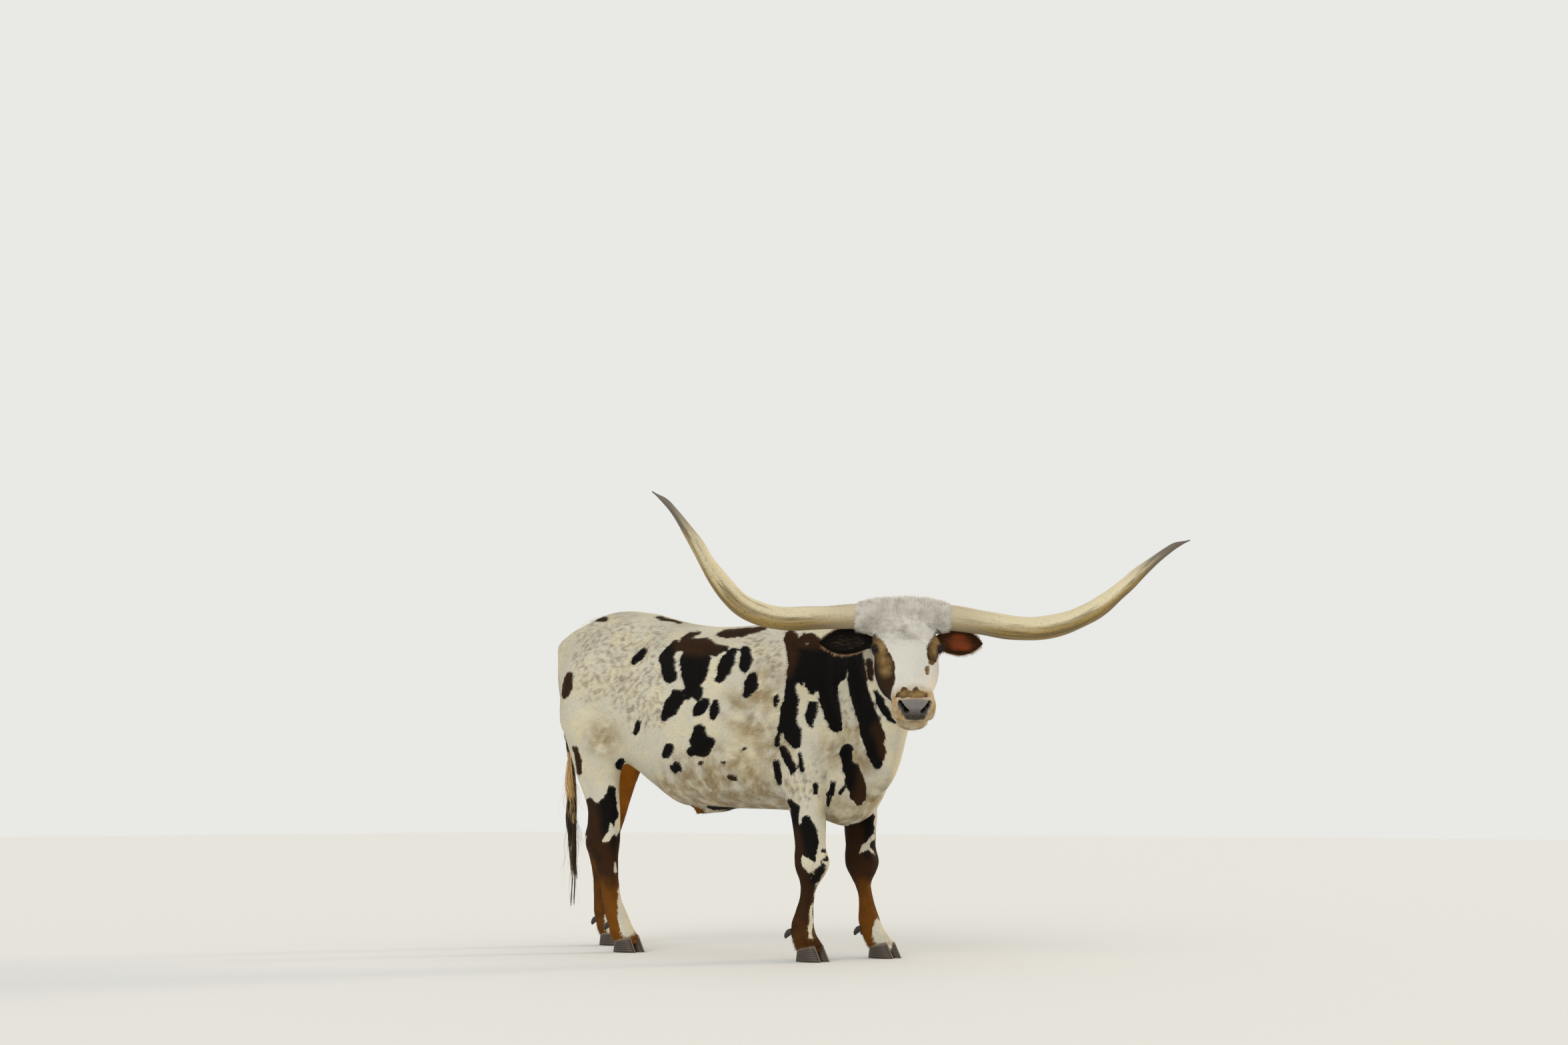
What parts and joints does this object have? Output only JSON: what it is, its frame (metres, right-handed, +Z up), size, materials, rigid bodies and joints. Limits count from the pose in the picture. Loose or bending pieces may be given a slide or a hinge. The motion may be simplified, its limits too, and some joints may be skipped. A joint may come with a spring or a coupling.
{
  "type": "longhorn steer model",
  "caption": "Life-size standing longhorn steer with a spotted white and dark brown hide, wide upswept horns, and its head turned to face the viewer.",
  "frame": {"origin": "on the floor, under the middle of the whole box with horns and tail", "axes": "+X the way the body faces, +Y to the animal's left, +Z up"},
  "size_m": [2.9923, 1.3643, 1.828],
  "materials": {
    "hide": "short-haired hide, white with dark brown and black patches",
    "dark_hide": "short-haired hide, dark brown",
    "tail_hair": "long coarse hair, black with fair strands",
    "horn": "worn horn, cream to olive brown with dark tips",
    "hoof": "dull hoof horn, grey brown",
    "eye": "wet dark eye"
  },
  "bodies": {
    "root": {"torso": "hide", "neck": "hide", "head": "hide", "leg_fore_right": "hide", "claw_fore_right_inner": "hoof", "claw_fore_right_outer": "hoof", "dewclaw_fore_right_inner": "hoof", "dewclaw_fore_right_outer": "hoof", "leg_fore_left": "hide", "claw_fore_left_inner": "hoof", "claw_fore_left_outer": "hoof", "dewclaw_fore_left_inner": "hoof", "dewclaw_fore_left_outer": "hoof", "leg_hind_right": "hide", "claw_hind_right_inner": "hoof", "claw_hind_right_outer": "hoof", "dewclaw_hind_right_inner": "hoof", "dewclaw_hind_right_outer": "hoof", "leg_hind_left": "hide", "claw_hind_left_inner": "hoof", "claw_hind_left_outer": "hoof", "dewclaw_hind_left_inner": "hoof", "dewclaw_hind_left_outer": "hoof", "horn_left": "horn", "ear_left": "dark_hide", "eye_left": "eye", "horn_right": "horn", "ear_right": "dark_hide", "eye_right": "eye", "tail": "dark_hide", "tail_brush": "tail_hair"}
  },
  "joints": []
}
